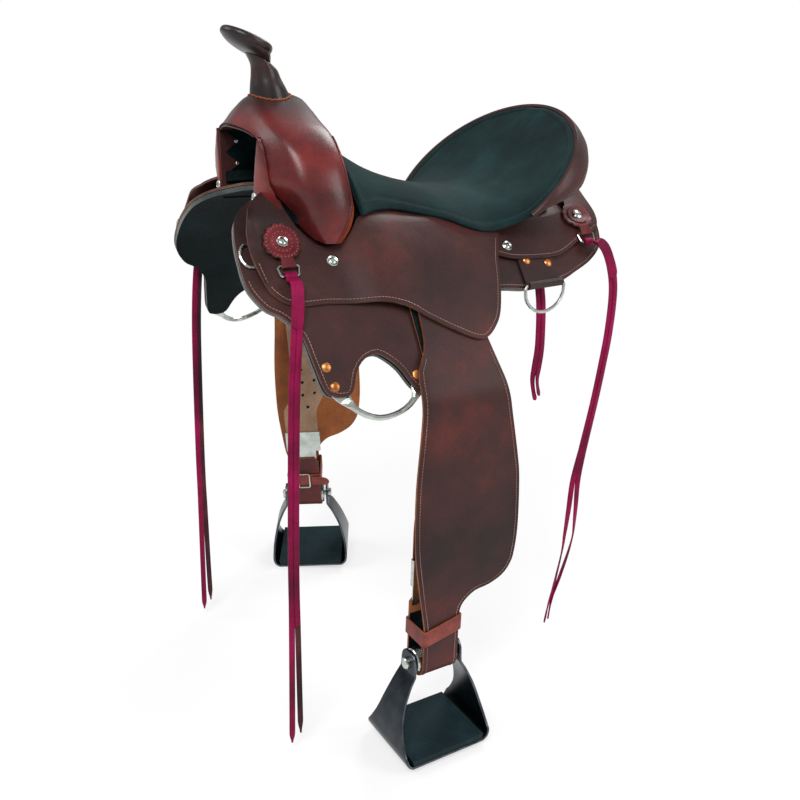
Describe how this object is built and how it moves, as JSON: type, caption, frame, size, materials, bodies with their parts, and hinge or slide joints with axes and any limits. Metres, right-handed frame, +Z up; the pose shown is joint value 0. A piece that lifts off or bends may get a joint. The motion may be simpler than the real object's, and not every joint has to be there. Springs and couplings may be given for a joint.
{
  "type": "western trail saddle",
  "caption": "Western trail saddle with horn, suede seat, in-skirt rigging, hanging fenders and wide-tread stirrups.",
  "frame": {"origin": "on the saddle's middle plane below the seat, where the linings' ridge rests on the horse's back", "axes": "+X to the rear (horn to cantle), +Y to the off (right) side, +Z up"},
  "size_m": [0.6021, 0.7358, 1.0278],
  "materials": {
    "tree_wood": "bare",
    "leather_brown": "waxed, dark brown",
    "leather_fork": "burnished red brown",
    "leather_strap": "red brown",
    "leather_black": "black",
    "leather_string": "burgundy string leather",
    "suede_black": "suede",
    "steel_bright": "polished",
    "stirrup_steel": "dark",
    "tread_rubber": "pitted grip"
  },
  "bodies": {
    "saddle": {"tree_bar_near": "tree_wood", "tree_bar_off": "tree_wood", "fork_block": "tree_wood", "cantle_board": "tree_wood", "fork_cover": "leather_fork", "gullet_liner": "leather_black", "horn_neck": "leather_brown", "horn_cap": "leather_brown", "seat_cushion": "suede_black", "ground_seat": "leather_brown", "cantle_band": "leather_brown", "cantle_back": "leather_brown", "seat_jockey_near": "leather_brown", "seat_jockey_off": "leather_brown", "rear_jockey_near": "leather_brown", "rear_jockey_off": "leather_brown", "skirt_near": "leather_brown", "skirt_off": "leather_brown", "lining_near": "leather_black", "lining_off": "leather_black", "rigging_plate_near": "steel_bright", "rigging_plate_off": "steel_bright", "rear_dee_strap_near": "leather_brown", "rear_dee_strap_off": "leather_brown", "front_rosette_near": "leather_strap", "front_rosette_off": "leather_strap", "rear_rosette_near": "leather_strap", "rear_rosette_off": "leather_strap", "inner_rear_string": "leather_string"},
    "leg_near": {"fender_near": "leather_brown", "stirrup_leather_near": "leather_strap", "buckle_plate_near": "steel_bright", "hobble_strap_near": "leather_strap", "hobble_buckle_near": "steel_bright"},
    "sleeve_near": {"buckle_sleeve_near": "steel_bright"},
    "stirrup_near": {"stirrup_frame_near": "stirrup_steel", "stirrup_tread_near": "tread_rubber", "stirrup_bolt_near": "steel_bright"},
    "rear_ring_near": {"rear_dee_near": "steel_bright"},
    "breast_ring_near": {"breast_dee_near": "steel_bright"},
    "front_tie_near": {"front_clip_dee_near": "steel_bright", "front_string_near": "leather_string"},
    "rear_tie_near": {"rear_clip_dee_near": "steel_bright", "rear_string_near": "leather_string"},
    "leg_off": {"fender_off": "leather_brown", "stirrup_leather_off": "leather_strap", "buckle_plate_off": "steel_bright", "hobble_strap_off": "leather_strap", "hobble_buckle_off": "steel_bright"},
    "sleeve_off": {"buckle_sleeve_off": "steel_bright"},
    "stirrup_off": {"stirrup_frame_off": "stirrup_steel", "stirrup_tread_off": "tread_rubber", "stirrup_bolt_off": "steel_bright"},
    "rear_ring_off": {"rear_dee_off": "steel_bright"},
    "breast_ring_off": {"breast_dee_off": "steel_bright"},
    "front_tie_off": {"front_clip_dee_off": "steel_bright", "front_string_off": "leather_string"},
    "rear_tie_off": {"rear_clip_dee_off": "steel_bright", "rear_string_off": "leather_string"}
  },
  "joints": [
    {"name": "leg_swing_near", "type": "hinge", "parent": "saddle", "child": "leg_near", "pos_m": [-0.046, -0.14087, -0.02634], "axis": [0, -0.7716, 0.6361], "range_deg": [-8, 12]},
    {"name": "leg_swing_off", "type": "hinge", "parent": "saddle", "child": "leg_off", "pos_m": [-0.046, 0.14087, -0.02634], "axis": [0, 0.7716, 0.6361], "range_deg": [-6.2, 17.8]},
    {"name": "sleeve_slide_near", "type": "slide", "parent": "leg_near", "child": "sleeve_near", "axis": [-0.0003, 0.0175, 0.9998], "range_m": [0, 0.03]},
    {"name": "sleeve_slide_off", "type": "slide", "parent": "leg_off", "child": "sleeve_off", "axis": [-0.1376, -0.1034, 0.9851], "range_m": [0, 0.03]},
    {"name": "stirrup_swing_near", "type": "hinge", "parent": "leg_near", "child": "stirrup_near", "pos_m": [-0.05, -0.26519, -0.63304], "axis": [0.9998, 0.0175, 0], "range_deg": [-60, 60]},
    {"name": "stirrup_swing_off", "type": "hinge", "parent": "leg_off", "child": "stirrup_off", "pos_m": [0.00797, 0.30696, -0.62926], "axis": [0.866, -0.4953, 0.069], "range_deg": [-60, 60]},
    {"name": "rear_ring_swing_near", "type": "hinge", "parent": "saddle", "child": "rear_ring_near", "pos_m": [0.158, -0.19871, -0.0922], "axis": [0.9994, 0, 0.0357], "range_deg": [-50, 15]},
    {"name": "rear_ring_swing_off", "type": "hinge", "parent": "saddle", "child": "rear_ring_off", "pos_m": [0.158, 0.19871, -0.0922], "axis": [0.9994, 0, 0.0357], "range_deg": [-15, 50]},
    {"name": "breast_ring_lift_near", "type": "hinge", "parent": "saddle", "child": "breast_ring_near", "pos_m": [-0.273, -0.13133, -0.03373], "axis": [0, -0.6409, -0.7676], "range_deg": [-20, 0]},
    {"name": "breast_ring_lift_off", "type": "hinge", "parent": "saddle", "child": "breast_ring_off", "pos_m": [-0.273, 0.13133, -0.03373], "axis": [0, 0.6409, -0.7676], "range_deg": [0, 20]},
    {"name": "front_tie_swing_near", "type": "hinge", "parent": "saddle", "child": "front_tie_near", "pos_m": [-0.233, -0.15012, -0.04585], "axis": [1, 0, 0], "range_deg": [-40, 0]},
    {"name": "front_tie_swing_off", "type": "hinge", "parent": "saddle", "child": "front_tie_off", "pos_m": [-0.233, 0.15012, -0.04585], "axis": [1, 0, 0], "range_deg": [0, 40]},
    {"name": "rear_tie_swing_near", "type": "hinge", "parent": "saddle", "child": "rear_tie_near", "pos_m": [0.26, -0.15858, -0.02931], "axis": [1, 0, 0], "range_deg": [-40, 0]},
    {"name": "rear_tie_swing_off", "type": "hinge", "parent": "saddle", "child": "rear_tie_off", "pos_m": [0.26, 0.15858, -0.02931], "axis": [1, 0, 0], "range_deg": [0, 40]}
  ]
}
